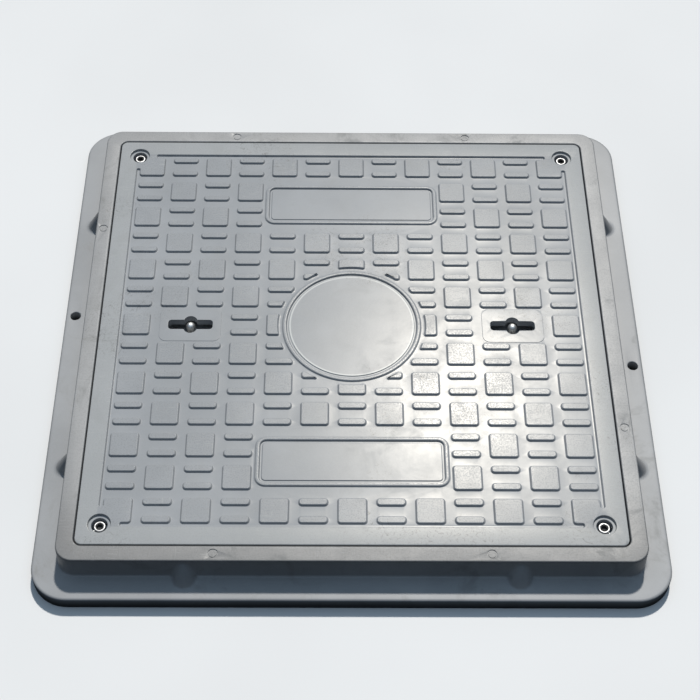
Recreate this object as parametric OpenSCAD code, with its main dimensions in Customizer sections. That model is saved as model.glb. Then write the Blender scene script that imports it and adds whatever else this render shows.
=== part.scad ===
// Square moulded manhole cover with its frame, in millimetres.
// The origin is at the middle of the frame's underside, and +Z points up out of the ground.

/* [Cover] */
// Side of the square cover
cover_w = 600; // [560:20:700]
// Height of the cover, from its seat to its top
cover_h = 35; // [33:1:40]
// Corner radius of the cover
cover_r = 8; // [4:1:12]
// Width of the plain raised border
border_w = 22.5; // [20:0.5:24]
// Height of the blocks, bars and border above the field
pattern_h = 3; // [2:0.5:4]
// Thickness of the top skin under the field
skin_t = 8; // [6:0.5:9]
// Side of a square block
block_w = 31.5; // [28:0.5:33]
// Width of one of the two bars in a cell
bar_w = 8.8; // [6:0.2:10]

/* [Medallion and nameplates] */
// Outer radius of the central ring
ring_r = 82; // [78:1:84]
// Width of the raised beads round the disc and the nameplates
bead_w = 7; // [5:0.5:9]
// Height of those beads above the field
bead_h = 2.4; // [1.5:0.1:3]
// Length of a blank nameplate
plate_l = 217; // [200:1:220]
// Width of a blank nameplate
plate_w = 64; // [58:1:66]

/* [Lifting points] */
// Length of the pad round a key slot
pad_l = 73; // [68:1:76]
// Width of the pad round a key slot
pad_w = 49; // [44:1:50]
// Length of the key slot
slot_l = 53; // [48:1:54]
// Width of the key slot
slot_w = 13.5; // [12:0.5:16]
// Radius of the round hole at the middle of the slot
keyhole_r = 11.3; // [10:0.1:12]
// Radius of the pilot pin at the middle of the keyhole
pin_r = 5.5; // [4.5:0.1:6]

/* [Lock bolts] */
// Distance of a bolt from the cover's edge
bolt_inset = 25; // [24:0.5:27]
// Thread diameter
bolt_d = 8; // [8:1:8]
// Length of the bolt below its head
bolt_l = 35; // [33:1:36]
// Depth of the head's top below the cover's top
head_depth = 5.5; // [5:0.5:6.5]

/* [Frame] */
// Gap between the cover and the frame on each side
gap = 1.5; // [1:0.1:2]
// Width of the frame's rim outside the gap
rim_t = 18.5; // [17:0.5:20]
// Width of the base flange outside the rim
flange_w = 30; // [28:1:36]
// Thickness of the base flange
flange_t = 17; // [15:1:18]
// Corner radius of the rim
rim_r = 20; // [18:1:24]
// Corner radius of the base flange
base_r = 42; // [38:1:48]
// Thickness of the ledge that carries the cover
ledge_t = 12; // [12:1:12]
// Width of that ledge inside the cover's edge
ledge_w = 30; // [28:1:32]
// Thickness of the rubber seat gasket
gasket_t = 3; // [2:0.5:4]
// Diameter of the two anchor holes in the flange
anchor_d = 12.5; // [11:0.5:13]

/* [Hidden] */
$fn = 96;
eps = 1;

// The pattern is a square grid of 13 cells a side, and half a cell is left on each side for the border.
cells = 13;
mid = (cells - 1) / 2;
pitch = cover_w / (cells + 1);

// Levels, from the underside of the frame upwards
seat_z = ledge_t + gasket_t;
top_z = seat_z + cover_h;
field_z = top_z - pattern_h;
skin_z = field_z - skin_t;

// Frame outlines
rim_w = cover_w + 2 * gap + 2 * rim_t;
base_w = rim_w + 2 * flange_w;
opening_w = cover_w - 2 * ledge_w;
lug_r = 20;
gusset_x = 182;
anchor_x = rim_w / 2 + 18;
anchor_y = 36;
anchor_boss_r = 11.5;
web_pitch = 60;
web_t = 8;
pocket_w = 32;
pocket_d = 9;
pocket_y = base_w / 2 - web_t - pocket_w / 2;

// Bolt and thread sizes
bolt_x = cover_w / 2 - bolt_inset;
shank_r = bolt_d / 2 - 0.05;
head_r = 6.5;
head_h = 8;
hex_af = 6;
hex_d = 4;
washer_r = 8;
washer_t = 1.6;
head_z = top_z - head_depth - head_h;
bore_floor_z = head_z - washer_t;
bore_r = 8.9;
recess_r = 12.5;
recess_d = 2.5;
boss_r = 22;
clear_r = 4.75;
insert_r = 7;
insert_bore_r = 4.25;
insert_z = 1;

// Underside of the cover
rib_t = 6;
skirt_t = 15;
rib_cells = 9;
rib_pitch = (cover_w - 2 * skirt_t + rib_t) / rib_cells;

// Lifting points
socket_x = 4.5 * pitch;
pad_h = pattern_h - 0.4;
cup_r = 31;
cup_wall = 3;
cup_z = 20;
cup_flange_r = 38;
cup_flange_t = 2.5;
cup_boss_r = 42;
pin_top_z = top_z - 1;
stud_r = 3.95;
nut_af = 13;
nut_h = 4;
screw_circle_r = 34.6;
screw_r = 1.5;
screw_head_r = 2.8;
screw_head_h = 1.8;
screw_l = 10;

CORNERS = [[-1, -1], [1, -1], [-1, 1], [1, 1]];

// A rectangle with round corners, centred on the origin
module rounded(size, r) {
    square([size.x - 2 * r, size.y], center = true);
    square([size.x, size.y - 2 * r], center = true);
    for (c = CORNERS) translate([c.x * (size.x / 2 - r), c.y * (size.y / 2 - r)]) circle(r);
}

// A rounded plate from one level up to another
module slab(w, r, z0, z1) {
    translate([0, 0, z0]) linear_extrude(z1 - z0) rounded([w, w], r);
}

// A cylinder from one level up to another
module post(r, z0, z1) {
    translate([0, 0, z0]) cylinder(h = z1 - z0, r = r);
}

// A hexagonal post measured across its flats
module hex_post(across, z0, z1) {
    translate([0, 0, z0]) cylinder(h = z1 - z0, r = across / 2 / cos(30), $fn = 6);
}

// Puts its children at one of the four bolts
module at_corner(c) {
    translate([c.x * bolt_x, c.y * bolt_x, 0]) children();
}

// Puts its children at one of the two lifting points
module at_lift(side) {
    translate([side * socket_x, 0, 0]) children();
}

// True where a cell is taken by a nameplate, a lifting pad or the medallion's middle
function plate_cell(i, j) = abs(i) <= 2 && abs(j) >= 4 && abs(j) <= 5;
function pad_cell(i, j) = j == 0 && abs(i) >= 4 && abs(i) <= 5;
function disc_cell(i, j) = abs(i) <= 1 && abs(j) <= 1;
function free_cell(i, j) = !plate_cell(i, j) && !pad_cell(i, j) && !disc_cell(i, j);

// The blocks and bars, as one outline
module tread_outline() {
    bar_y = (block_w - bar_w) / 2;
    difference() {
        for (i = [-mid:mid], j = [-mid:mid]) {
            if (free_cell(i, j)) translate([i * pitch, j * pitch]) {
                if ((i + j) % 2 == 0) square(block_w, center = true);
                else for (s = [-1, 1]) translate([0, s * bar_y]) square([block_w, bar_w], center = true);
            }
        }
        circle(ring_r + 6);
    }
}

// A raised bead round a blank nameplate
module plate_bead() {
    difference() {
        rounded([plate_l, plate_w], 8);
        rounded([plate_l - 2 * bead_w, plate_w - 2 * bead_w], 3);
    }
}

// Everything moulded on top of the field
module top_relief() {
    translate([0, 0, field_z]) {
        linear_extrude(pattern_h) tread_outline();
        linear_extrude(pattern_h) difference() {
            rounded([cover_w, cover_w], cover_r);
            square(cover_w - 2 * border_w, center = true);
        }
        linear_extrude(bead_h) difference() {
            circle(ring_r);
            circle(ring_r - bead_w - 2);
        }
        for (s = [-1, 1]) translate([0, s * 4.5 * pitch]) linear_extrude(bead_h) plate_bead();
        for (s = [-1, 1]) translate([s * socket_x, 0]) linear_extrude(pad_h) rounded([pad_l, pad_w], 8.5);
    }
    for (c = CORNERS) at_corner(c) post(boss_r, field_z, top_z);
}

// The plate with its skirt and the grid of ribs underneath
module ribbed_plate() {
    difference() {
        slab(cover_w, cover_r, seat_z, field_z);
        for (i = [-4:4], j = [-4:4]) {
            translate([i * rib_pitch, j * rib_pitch, (seat_z - eps + skin_z) / 2])
                cube([rib_pitch - rib_t, rib_pitch - rib_t, skin_z - seat_z + eps], center = true);
        }
    }
    for (c = CORNERS) at_corner(c) post(boss_r, seat_z, field_z - eps);
    for (s = [-1, 1]) at_lift(s) post(cup_boss_r, seat_z, field_z - eps);
}

// The holes for one lock bolt
module bolt_hole() {
    post(recess_r, top_z - recess_d, top_z + eps);
    post(bore_r, bore_floor_z, top_z + eps);
    post(clear_r, seat_z - eps, top_z);
}

// The key slot, the round chamber under it and the pilot holes for the cup's screws
module key_hole() {
    translate([0, 0, skin_z - eps]) linear_extrude(pattern_h + skin_t + 2 * eps) {
        rounded([slot_l, slot_w], 4);
        circle(keyhole_r);
    }
    post(cup_r + 0.2, seat_z - eps, skin_z);
    post(cup_flange_r + 1, seat_z - eps, cup_z + cup_flange_t);
    for (a = [90, 210, 330]) rotate([0, 0, a]) translate([screw_circle_r, 0, 0])
        post(screw_r + 0.05, seat_z - eps, cup_z + screw_l);
}

module cover() {
    color([0.62, 0.65, 0.67]) difference() {
        union() {
            ribbed_plate();
            top_relief();
        }
        for (c = CORNERS) at_corner(c) bolt_hole();
        for (s = [-1, 1]) at_lift(s) key_hole();
    }
}

// A rib that grows out of the rim's wall down to the flange
module gusset() {
    lean = 21;
    translate([0, -rim_w / 2 - 6.2, flange_t - 6]) rotate([-lean, 0, 0])
        cylinder(h = 37, r1 = 14.2, r2 = 7);
}

// The pockets under the flange, between its webs
module flange_pockets() {
    for (a = [0:90:270], k = [-4.5:4.5]) rotate([0, 0, a])
        translate([k * web_pitch, pocket_y, (pocket_d - eps) / 2])
            cube([web_pitch - web_t, pocket_w, pocket_d + eps], center = true);
}

// The ledge's inner outline, which leaves a lug at each corner for the bolt
module clear_opening() {
    difference() {
        square(opening_w, center = true);
        for (c = CORNERS) translate([c.x * bolt_x, c.y * bolt_x]) circle(lug_r);
    }
}

module frame() {
    color([0.60, 0.62, 0.63]) difference() {
        union() {
            difference() {
                slab(base_w, base_r, 0, flange_t);
                flange_pockets();
            }
            slab(rim_w, rim_r, 0, top_z);
            for (a = [0:90:270], s = [-1, 1]) rotate([0, 0, a]) translate([s * gusset_x, 0, 0]) gusset();
            for (s = [-1, 1]) translate([s * anchor_x, -s * anchor_y, 0]) post(anchor_boss_r, 0, flange_t - eps);
        }
        slab(cover_w + 2 * gap, cover_r + gap, ledge_t, top_z + eps);
        translate([0, 0, -eps]) linear_extrude(top_z) clear_opening();
        for (c = CORNERS) at_corner(c) post(insert_r, -eps, ledge_t + eps);
        for (s = [-1, 1]) translate([s * anchor_x, -s * anchor_y, 0]) post(anchor_d / 2, -eps, flange_t + eps);
    }
}

module seat_gasket() {
    outer_w = cover_w - 2;
    inner_w = opening_w + 6;
    color([0.10, 0.10, 0.11]) translate([0, 0, ledge_t]) linear_extrude(gasket_t) difference() {
        rounded([outer_w, outer_w], cover_r);
        difference() {
            square(inner_w, center = true);
            for (c = CORNERS) translate([c.x * bolt_x, c.y * bolt_x]) circle(lug_r - 1);
        }
        for (c = CORNERS) translate([c.x * bolt_x, c.y * bolt_x]) circle(insert_r + 1);
    }
}

// A brass insert with two gripping bands and a waist between them
module threaded_insert(c) {
    color([0.72, 0.60, 0.32]) at_corner(c) difference() {
        union() {
            post(insert_r - 0.7, insert_z, ledge_t);
            post(insert_r, insert_z, insert_z + 4);
            post(insert_r, ledge_t - 4, ledge_t);
        }
        post(insert_bore_r, insert_z - eps, ledge_t + eps);
    }
}

// The cup that closes the key chamber from below
module key_socket(side) {
    color([0.20, 0.21, 0.22]) at_lift(side) difference() {
        union() {
            post(cup_flange_r, cup_z, cup_z + cup_flange_t);
            post(cup_r, cup_z, skin_z - 0.2);
        }
        post(cup_r - cup_wall, cup_z + cup_wall, skin_z + eps);
        post(stud_r + 0.3, cup_z - eps, cup_z + cup_wall + eps);
        for (a = [90, 210, 330]) rotate([0, 0, a]) translate([screw_circle_r, 0, 0])
            post(screw_r + 0.3, cup_z - eps, cup_z + cup_flange_t + eps);
    }
}

module key_socket_screws() {
    color([0.80, 0.81, 0.82]) for (s = [-1, 1], a = [90, 210, 330])
        at_lift(s) rotate([0, 0, a]) translate([screw_circle_r, 0, 0]) {
            post(screw_head_r, cup_z - screw_head_h, cup_z);
            post(screw_r, cup_z - eps, cup_z + screw_l);
        }
}

// A pin with a domed top that centres the lifting key, on a threaded tail
module pilot_pin(side) {
    color([0.86, 0.87, 0.88]) at_lift(side) {
        post(pin_r, cup_z + cup_wall, pin_top_z - pin_r);
        translate([0, 0, pin_top_z - pin_r]) sphere(pin_r);
        post(stud_r, cup_z - nut_h - 0.8, cup_z + cup_wall + eps);
    }
}

module pilot_pin_nut(side) {
    color([0.80, 0.81, 0.82]) at_lift(side) difference() {
        hex_post(nut_af, cup_z - nut_h, cup_z);
        post(stud_r + 0.05, cup_z - nut_h - eps, cup_z + eps);
    }
}

// A socket head cap screw
module lock_bolt(c) {
    color([0.84, 0.85, 0.86]) at_corner(c) difference() {
        union() {
            post(head_r, head_z, head_z + head_h - 0.6);
            translate([0, 0, head_z + head_h - 0.6]) cylinder(h = 0.6, r1 = head_r, r2 = head_r - 0.6);
            post(shank_r, head_z - bolt_l + 1, head_z + eps);
            translate([0, 0, head_z - bolt_l]) cylinder(h = 1, r1 = shank_r - 1, r2 = shank_r);
        }
        hex_post(hex_af, head_z + head_h - hex_d, head_z + head_h + eps);
    }
}

module bolt_washer(c) {
    color([0.80, 0.81, 0.82]) at_corner(c) difference() {
        post(washer_r, bore_floor_z, head_z);
        post(shank_r + 0.25, bore_floor_z - eps, head_z + eps);
    }
}

frame();
seat_gasket();
threaded_insert([-1, -1]);  // threaded_insert_front_left
threaded_insert([1, -1]);  // threaded_insert_front_right
threaded_insert([-1, 1]);  // threaded_insert_rear_left
threaded_insert([1, 1]);  // threaded_insert_rear_right
cover();
key_socket(-1);  // key_socket_left
key_socket(1);  // key_socket_right
key_socket_screws();
pilot_pin(-1);  // pilot_pin_left
pilot_pin(1);  // pilot_pin_right
pilot_pin_nut(-1);  // pilot_pin_nut_left
pilot_pin_nut(1);  // pilot_pin_nut_right
lock_bolt([-1, -1]);  // lock_bolt_front_left
lock_bolt([1, -1]);  // lock_bolt_front_right
lock_bolt([-1, 1]);  // lock_bolt_rear_left
lock_bolt([1, 1]);  // lock_bolt_rear_right
bolt_washer([-1, -1]);  // bolt_washer_front_left
bolt_washer([1, -1]);  // bolt_washer_front_right
bolt_washer([-1, 1]);  // bolt_washer_rear_left
bolt_washer([1, 1]);  // bolt_washer_rear_right
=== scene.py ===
import math

import bmesh
import bpy
from mathutils import Matrix, Vector
from mathutils.geometry import delaunay_2d_cdt


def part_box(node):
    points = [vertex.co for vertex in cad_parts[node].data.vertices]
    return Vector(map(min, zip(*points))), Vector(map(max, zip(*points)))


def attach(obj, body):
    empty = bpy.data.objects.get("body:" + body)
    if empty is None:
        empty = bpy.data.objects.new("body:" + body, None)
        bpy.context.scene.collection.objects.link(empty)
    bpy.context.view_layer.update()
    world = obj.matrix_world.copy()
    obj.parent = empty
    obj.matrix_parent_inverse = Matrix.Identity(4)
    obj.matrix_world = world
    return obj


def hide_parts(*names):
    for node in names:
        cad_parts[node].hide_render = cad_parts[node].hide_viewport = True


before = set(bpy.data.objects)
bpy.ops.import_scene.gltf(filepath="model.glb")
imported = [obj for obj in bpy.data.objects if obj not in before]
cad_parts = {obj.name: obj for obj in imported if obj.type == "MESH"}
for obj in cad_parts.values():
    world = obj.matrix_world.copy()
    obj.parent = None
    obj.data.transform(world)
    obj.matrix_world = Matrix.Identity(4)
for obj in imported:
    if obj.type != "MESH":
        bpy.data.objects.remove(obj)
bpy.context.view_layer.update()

# ---------------------------------------------------------------- sizes, in millimetres
MM = 0.001
COVER_LOW, COVER_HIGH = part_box("cover")
FRAME_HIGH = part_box("frame")[1]
HALF = COVER_HIGH.x / MM
TOP = COVER_HIGH.z / MM
SEAT = COVER_LOW.z / MM
BASE = FRAME_HIGH.x / MM
CELLS = 13
MID = (CELLS - 1) // 2
PITCH = 2 * HALF / (CELLS + 1)
TREAD_H = 2.5
SKIN_T = 11.0
FIELD = TOP - TREAD_H
SKIN = TOP - SKIN_T
BOLT = (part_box("lock_bolt_front_right")[0].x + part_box("lock_bolt_front_right")[1].x) / 2 / MM
LIFT = (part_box("pilot_pin_right")[0].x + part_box("pilot_pin_right")[1].x) / 2 / MM
CUP_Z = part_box("key_socket_right")[0].z / MM
WASHER_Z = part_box("bolt_washer_front_right")[0].z / MM
CORNERS = ((-1, -1), (1, -1), (1, 1), (-1, 1))
ARC_STEPS = 5


# ---------------------------------------------------------------- outlines
def spread(cx, cy, radii):
    """Points evenly round a centre at the given radii, anticlockwise."""
    points = []
    for k, r in enumerate(radii):
        a = 2 * math.pi * k / len(radii)
        points.append((cx + r * math.cos(a), cy + r * math.sin(a)))
    return points


def circle(cx, cy, r, steps):
    """A circle, anticlockwise."""
    return spread(cx, cy, [r] * steps)


def rounded(corners, steps=ARC_STEPS):
    """An outline through (x, y, radius) corners, each one rounded by its radius."""
    points = []
    count = len(corners)
    for i, (x, y, r) in enumerate(corners):
        p = Vector((x, y))
        to_last = Vector(corners[i - 1][:2]) - p
        to_next = Vector(corners[(i + 1) % count][:2]) - p
        reach = 0.45 * min(to_last.length, to_next.length)
        to_last.normalize()
        to_next.normalize()
        half_angle = math.acos(max(-1, min(1, to_last.dot(to_next)))) / 2
        if r <= 0 or half_angle > math.radians(88):
            points.append((x, y))
            continue
        r = min(r, reach * math.tan(half_angle))
        centre = p + (to_last + to_next).normalized() * (r / math.sin(half_angle))
        start = p + to_last * (r / math.tan(half_angle)) - centre
        turn = math.pi - 2 * half_angle
        if to_last.cross(to_next) > 0:
            turn = -turn
        n = max(2, round(steps * abs(turn) / (math.pi / 2)))
        for k in range(n + 1):
            a = turn * k / n
            c, s = math.cos(a), math.sin(a)
            points.append(
                (centre.x + start.x * c - start.y * s, centre.y + start.x * s + start.y * c)
            )
    return points


def box_corners(cx, cy, w, h, r):
    """The corners of a rectangle, anticlockwise, for rounded()."""
    return [(cx + sx * w / 2, cy + sy * h / 2, r) for sx, sy in CORNERS]


def offset(points, d):
    """The outline moved outwards by d along its own normals."""
    moved = []
    count = len(points)
    for i, (x, y) in enumerate(points):
        ax, ay = x - points[i - 1][0], y - points[i - 1][1]
        bx, by = points[(i + 1) % count][0] - x, points[(i + 1) % count][1] - y
        la, lb = math.hypot(ax, ay), math.hypot(bx, by)
        nx, ny = ay / la + by / lb, -ax / la - bx / lb
        scale = d / (1 + (ax * bx + ay * by) / (la * lb))
        moved.append((x + nx * scale, y + ny * scale))
    return moved


def turned(corners, turn):
    """The (x, y, radius) corners turned by a number of right angles about the centre."""
    c, s = round(math.cos(turn * math.pi / 2)), round(math.sin(turn * math.pi / 2))
    return [(x * c - y * s, x * s + y * c, r) for x, y, r in corners]


def four_times(quarter):
    """A quarter of an outline carried on round all four sides."""
    corners = []
    for turn in range(4):
        corners += turned(quarter, turn)
    return corners


def without_disc(corners, cx, cy, r, fillet):
    """The corners with the part inside a circle cut away, and the cut's own arc put in."""
    kept = []
    count = len(corners)
    for i, (x, y, corner_r) in enumerate(corners):
        nx, ny = corners[(i + 1) % count][:2]
        if math.hypot(x - cx, y - cy) > r:
            kept.append((x, y, corner_r, False))
        dx, dy = nx - x, ny - y
        a = dx * dx + dy * dy
        b = 2 * (dx * (x - cx) + dy * (y - cy))
        c = (x - cx) ** 2 + (y - cy) ** 2 - r * r
        root = b * b - 4 * a * c
        if root <= 0:
            continue
        for sign in (-1, 1):
            t = (-b + sign * math.sqrt(root)) / (2 * a)
            if 0 < t < 1:
                kept.append((x + dx * t, y + dy * t, fillet, True))
    cuts = [i for i, k in enumerate(kept) if k[3]]
    if len(cuts) != 2:
        return [k[:3] for k in kept]
    # the outline runs anticlockwise, so round the circle it runs clockwise
    first, last = cuts
    if last - first != 1:
        kept = kept[last:] + kept[:last]
        first, last = 0, 1
    a0 = math.atan2(kept[first][1] - cy, kept[first][0] - cx)
    a1 = math.atan2(kept[last][1] - cy, kept[last][0] - cx)
    sweep = -((a0 - a1) % (2 * math.pi))
    steps = max(2, round(abs(sweep) * r / 3))
    arc = [
        (cx + r * math.cos(a0 + sweep * k / steps), cy + r * math.sin(a0 + sweep * k / steps), 0)
        for k in range(1, steps)
    ]
    return [k[:3] for k in kept[: first + 1]] + arc + [k[:3] for k in kept[last:]]


def encloses(outline, point):
    """Whether the outline goes round the point."""
    crossings = 0
    for i in range(len(outline)):
        (ax, ay), (bx, by) = outline[i - 1][:2], outline[i][:2]
        if (ay > point.y) != (by > point.y):
            crossings += point.x < ax + (point.y - ay) * (bx - ax) / (by - ay)
    return crossings % 2 == 1


def wall(z0, z1, root, crown, draft, steps=3):
    """Offsets and heights up the wall of a boss, from its rounded foot to its rounded top edge.

    root and crown are the radii of the foot and the edge, and draft is the wall's lean.
    """
    foot = []
    edge = []
    for k in range(steps + 1):
        a = math.pi / 2 * k / steps
        foot.append((draft + root - root * math.sin(a), z0 + root - root * math.cos(a)))
        edge.append((crown * math.cos(a) - crown, z1 - crown + crown * math.sin(a)))
    return foot + edge


def mirrored(profile):
    """The same wall for a hole, where the outline's inside is the low side."""
    return [(-d, z) for d, z in profile]


# ---------------------------------------------------------------- shells
# asks delaunay_2d_cdt for the faces inside the outer ring
INSIDE_EDGES = 1
SHARP_ANGLE = 35


class Shell:
    """A closed surface put together from rings of points, in millimetres."""

    def __init__(self):
        self.points = []
        self.faces = []

    def ring(self, outline, z):
        """A level ring of points; gives their numbers."""
        start = len(self.points)
        self.points += [(x, y, z) for x, y in outline]
        return list(range(start, len(self.points)))

    def strip(self, a, b):
        """The band of faces between two rings with as many points each."""
        n = len(a)
        self.faces += [(a[i], a[(i + 1) % n], b[(i + 1) % n], b[i]) for i in range(n)]

    def strips(self, rings):
        """The bands from each ring to the next; gives the first and the last ring."""
        for a, b in zip(rings, rings[1:]):
            self.strip(a, b)
        return rings[0], rings[-1]

    def sweep(self, outline, profile):
        """Rings along a profile of (offset, height); gives the first and the last ring."""
        return self.strips([self.ring(offset(outline, d), z) for d, z in profile])

    def turning(self, cx, cy, profile, steps):
        """Circles along a profile of (radius, height); gives the first and the last ring."""
        return self.strips([self.ring(circle(cx, cy, r, steps), z) for r, z in profile])

    def cap(self, ring):
        """One flat face over a ring."""
        self.faces.append(tuple(ring))

    def region(self, outer, holes):
        """The flat face between a ring and the holes in it."""
        index, owner, edges = [], [], []
        for number, ring in enumerate([outer] + holes):
            start, n = len(index), len(ring)
            edges += [(start + k, start + (k + 1) % n) for k in range(n)]
            index += ring
            owner += [number] * n
        flat = [Vector(self.points[i][:2]) for i in index]
        made = delaunay_2d_cdt(flat, edges, [], INSIDE_EDGES, 1e-6)
        source = [found[0] for found in made[3]]
        for face in made[2]:
            corners = [source[i] for i in face]
            rings_met = {owner[i] for i in corners}
            if len(rings_met) == 1 and 0 not in rings_met:
                hole = [self.points[i] for i in holes[rings_met.pop() - 1]]
                if encloses(hole, sum((flat[i] for i in corners), Vector((0, 0))) / len(corners)):
                    continue
            self.faces.append(tuple(index[i] for i in corners))

    def build(self, name, body, material, sharp_angle=SHARP_ANGLE):
        """The shell as an object that rides on a body."""
        mesh = bpy.data.meshes.new(name)
        mesh.from_pydata([(x * MM, y * MM, z * MM) for x, y, z in self.points], [], self.faces)
        shape = bmesh.new()
        shape.from_mesh(mesh)
        bmesh.ops.recalc_face_normals(shape, faces=shape.faces)
        shape.to_mesh(mesh)
        shape.free()
        obj = bpy.data.objects.new(name, mesh)
        bpy.context.scene.collection.objects.link(obj)
        finish_mesh(obj, sharp_angle)
        mesh.materials.append(material)
        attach(obj, body)
        return obj


def finish_mesh(obj, sharp_angle):
    """Smooth shading that keeps flat faces flat."""
    for polygon in obj.data.polygons:
        polygon.use_smooth = True
    obj.data.set_sharp_from_angle(angle=math.radians(sharp_angle))
    weighted = obj.modifiers.new("weighted", "WEIGHTED_NORMAL")
    weighted.keep_sharp = True
    weighted.weight = 100


# ---------------------------------------------------------------- cover
COVER_CORNER_R = 8.0
# the medallion and the nameplates: bead, groove and panel
RING_R = 82.6
CLEAR_R = RING_R + 6
PLATE_Y = 4.5 * PITCH
PLATE = (217.0, 65.0, 12.0)
BEAD_W = 4.6
BEAD_H = 2.0
GROOVE_W = 1.6
GROOVE_DEPTH = 0.3
PANEL_EDGE_W = 1.4
PANEL_H = 0.7
DISC_R = RING_R - BEAD_W - GROOVE_W - PANEL_EDGE_W
# the lifting points: pad, key slot with its round middle, and the cup's seat below
PAD = (73.0, 49.0, 8.5)
PAD_H = 0.5
SLOT = (53.0, 13.5, 4.0)
KEYHOLE_R = 7.9
KEYHOLE_REACH = 12.4
CUP_R = 31.2
CUP_RECESS_R = 39.0
CUP_BOSS_R = 42.0
CUP_FLANGE_T = 2.5
# the treads and the border round them
BLOCK = 31.0
BLOCK_R = 3.0
BAR = 8.4
BAR_R = 3.4
CUT_R = 2.0
BORDER = 277.6
BOSS_X = 253.0
HOOK_R = 2.2
# the bolts' stepped holes
RECESS_R = 12.5
RECESS_DEPTH = 3.1
BORE_R = 8.9
SHANK_HOLE_R = 4.75
# the ribs underneath
RIB_CELLS = 9
LIFT_CELL = 3
SKIRT_T = 15.0
RIB_T = 6.0
CELL_R = 4.5
BOLT_BOSS_R = 22.0


def field_outline():
    """The inner edge of the border, which takes in the bosses and the corner blocks."""
    far = MID * PITCH + BLOCK / 2
    near = MID * PITCH - BLOCK / 2
    quarter = [
        (BORDER, BOSS_X, HOOK_R),
        (far, BOSS_X, HOOK_R),
        (far, near, BLOCK_R),
        (near, near, BLOCK_R),
        (near, far, BLOCK_R),
        (BOSS_X, far, HOOK_R),
        (BOSS_X, BORDER, HOOK_R),
    ]
    return rounded(four_times(quarter), 4)


def has_tread(i, j):
    """Whether a cell of the grid isn't taken by a boss, a plate, a pad or the medallion."""
    corner = abs(i) == MID and abs(j) == MID
    plate = abs(i) <= 2 and 4 <= abs(j) <= 5
    pad = j == 0 and 4 <= abs(i) <= 5
    disc = abs(i) <= 1 and abs(j) <= 1
    return not (corner or plate or pad or disc)


def tread_outlines():
    """The blocks and bars of the grid, less those that the plates, pads and medallion take."""
    outlines = []
    for i in range(-MID, MID + 1):
        for j in range(-MID, MID + 1):
            if not has_tread(i, j):
                continue
            x, y = i * PITCH, j * PITCH
            if (i + j) % 2 == 0:
                shapes = [box_corners(x, y, BLOCK, BLOCK, BLOCK_R)]
            else:
                shift = (BLOCK - BAR) / 2
                shapes = [box_corners(x, y + s * shift, BLOCK, BAR, BAR_R) for s in (-1, 1)]
            for shape in shapes:
                outlines.append(rounded(without_disc(shape, 0, 0, CLEAR_R, CUT_R)))
    return outlines


def slot_outline():
    """A slot with a round-ended hole across its middle."""
    half_l, half_w, r = SLOT[0] / 2, SLOT[1] / 2, SLOT[2]
    centre_y = KEYHOLE_REACH - KEYHOLE_R
    meet = math.acos((half_w - centre_y) / KEYHOLE_R)
    join_x = KEYHOLE_R * math.sin(meet)
    steps = 7
    right = [(half_l, half_w, r), (join_x, half_w, 1.5)]
    top = [
        (KEYHOLE_R * math.sin(a), centre_y + KEYHOLE_R * math.cos(a), 0)
        for a in [meet * (1 - k / steps) for k in range(1, 2 * steps)]
    ]
    left = [(-join_x, half_w, 1.5), (-half_l, half_w, r)]
    upper = right + top + left
    lower = [(-x, -y, corner_r) for x, y, corner_r in upper]
    return rounded(upper + lower)


def add_bead(shell, outline):
    """A raised bead, a groove and a low panel inside an outline; gives the bead's outer foot."""
    floor = FIELD - GROOVE_DEPTH
    crest = FIELD + BEAD_H
    panel_in = BEAD_W + GROOVE_W + PANEL_EDGE_W
    outer = wall(FIELD, crest, root=0.7, crown=1.1, draft=0.4)
    inner = wall(floor, crest, root=0.5, crown=1.1, draft=0.4)
    inner = [(-BEAD_W - d, z) for d, z in reversed(inner)]
    panel_edge = wall(floor, FIELD + PANEL_H, root=0.3, crown=0.5, draft=0.3)
    panel_edge = [(d - panel_in, z) for d, z in panel_edge]
    foot, panel = shell.sweep(outline, outer + inner + panel_edge)
    shell.cap(panel)
    return foot


def add_bolt_hole(shell, sx, sy):
    """The stepped hole for one lock bolt; gives its top ring and its bottom ring."""
    step = TOP - RECESS_DEPTH
    profile = [
        (RECESS_R + 0.9, TOP),
        (RECESS_R + 0.35, TOP - 0.15),
        (RECESS_R, TOP - 0.7),
        (RECESS_R - 0.2, step + 0.4),
        (RECESS_R - 0.6, step),
        (BORE_R + 0.5, step),
        (BORE_R + 0.1, step - 0.3),
        (BORE_R, step - 0.8),
        (BORE_R, WASHER_Z),
        (SHANK_HOLE_R, WASHER_Z),
        (SHANK_HOLE_R, SEAT),
    ]
    return shell.turning(sx * BOLT, sy * BOLT, profile, 48)


def add_lift_point(shell, side):
    """A pad with its key slot and the recess for the cup below; gives the top and bottom feet."""
    cx = side * LIFT
    pad_z = FIELD + PAD_H
    seat_z = CUP_Z + CUP_FLANGE_T
    pad = rounded(box_corners(cx, 0, *PAD), 8)
    pad_wall = wall(FIELD, pad_z, root=0.25, crown=0.2, draft=0.1, steps=2)
    foot, pad_edge = shell.sweep(pad, pad_wall)
    slot_wall = [(0.6, pad_z), (0.2, pad_z - 0.15), (0.0, pad_z - 0.6), (-0.1, SKIN)]
    slot = [(x + cx, y) for x, y in slot_outline()]
    mouth, slot_foot = shell.sweep(slot, slot_wall)
    shell.region(pad_edge, [mouth])
    levels = [(CUP_R, SKIN), (CUP_R, seat_z), (CUP_RECESS_R, seat_z), (CUP_RECESS_R, SEAT)]
    ceiling, cup_mouth = shell.turning(cx, 0, levels, 96)
    shell.region(ceiling, [slot_foot])
    return foot, cup_mouth


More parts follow.
